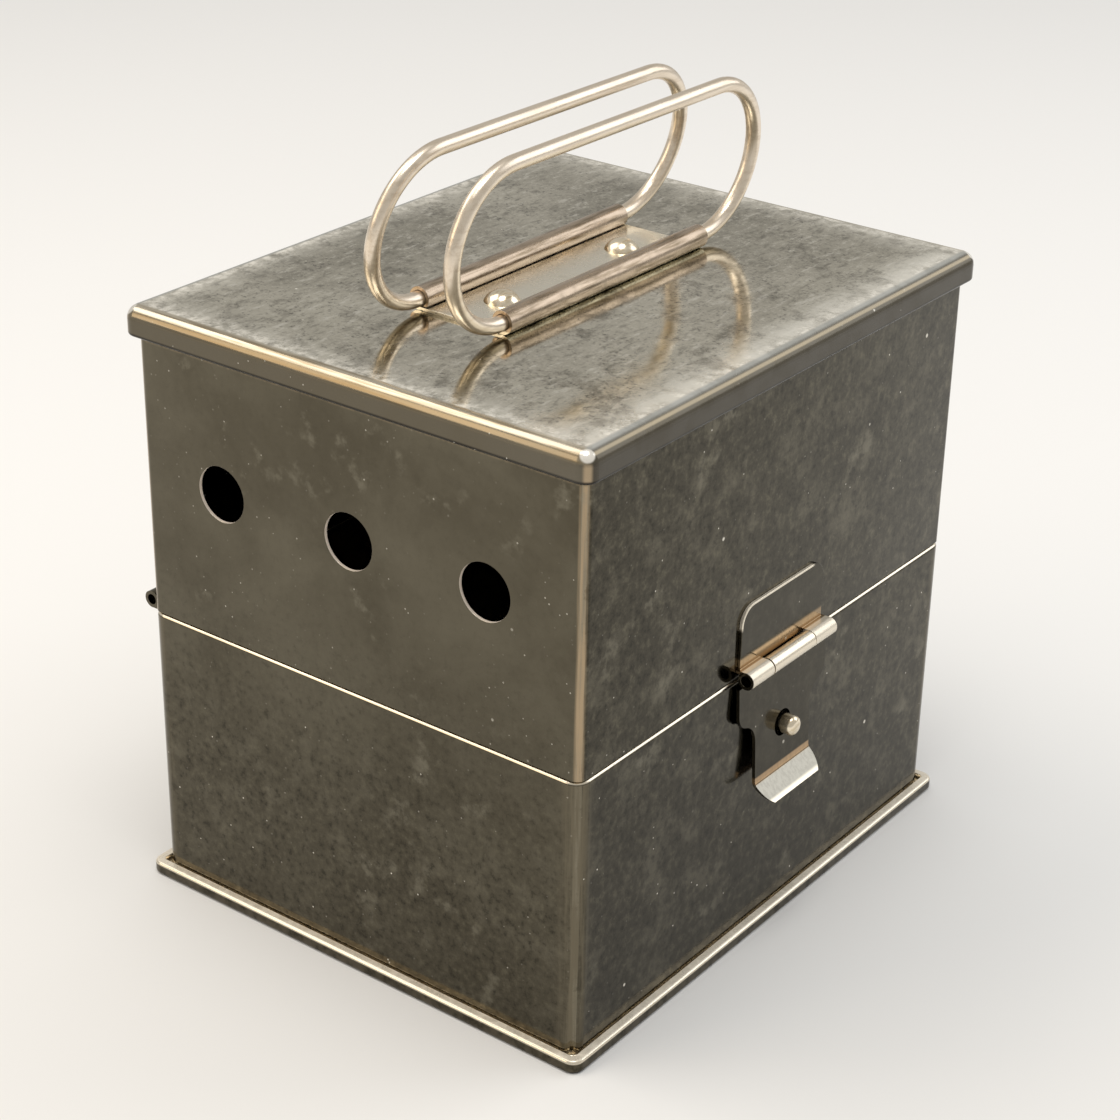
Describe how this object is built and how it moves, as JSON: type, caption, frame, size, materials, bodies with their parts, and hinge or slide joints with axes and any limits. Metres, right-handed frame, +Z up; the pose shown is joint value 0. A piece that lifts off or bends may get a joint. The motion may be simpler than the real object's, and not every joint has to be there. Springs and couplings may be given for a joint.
{
  "type": "sterilization drum",
  "caption": "Rectangular hinged sheet-steel sterilizing box with vented lid sides, a swing latch over a stud and paired wire carrying bails.",
  "frame": {"origin": "centre of the flat underside of the bottom plate", "axes": "+Z up, +X towards the latch, -X towards the lid hinge, -Y and +Y the two vented faces, the bails run along Y"},
  "size_m": [0.1325, 0.1504, 0.182],
  "materials": {
    "box_steel": "bright-plated sheet, polished, finely scratched",
    "cap_steel": "bright-plated sheet, water-stained and dulled",
    "fitting_steel": "bright-plated wire and pins, polished"
  },
  "bodies": {
    "base": {"base_bottom": "box_steel", "base_shell": "box_steel", "hinge_base_leaf": "box_steel", "hinge_pin": "fitting_steel", "latch_stud": "fitting_steel"},
    "lid": {"lid_shell": "box_steel", "lid_cap": "cap_steel", "hinge_lid_leaf": "box_steel", "latch_leaf": "box_steel", "latch_pin": "fitting_steel", "handle_bracket": "cap_steel", "rivet_near": "fitting_steel", "rivet_far": "fitting_steel"},
    "latch": {"latch_tongue": "box_steel"},
    "bail_front": {"bail_front": "fitting_steel"},
    "bail_rear": {"bail_rear": "fitting_steel"}
  },
  "joints": [
    {"name": "lid_hinge", "type": "hinge", "parent": "base", "child": "lid", "pos_m": [-0.0632, 0, 0.0699], "axis": [0, -1, 0], "range_deg": [0, 110]},
    {"name": "latch_swing", "type": "hinge", "parent": "lid", "child": "latch", "pos_m": [0.0628, 0.0004, 0.0698], "axis": [0, -1, 0], "range_deg": [0, 170]},
    {"name": "bail_front_swing", "type": "hinge", "parent": "lid", "child": "bail_front", "pos_m": [0.0112, -0.0007, 0.14525], "axis": [0, 1, 0], "range_deg": [-20, 84]},
    {"name": "bail_rear_swing", "type": "hinge", "parent": "lid", "child": "bail_rear", "pos_m": [-0.0112, -0.0007, 0.14525], "axis": [0, 1, 0], "range_deg": [-100, 4]}
  ]
}
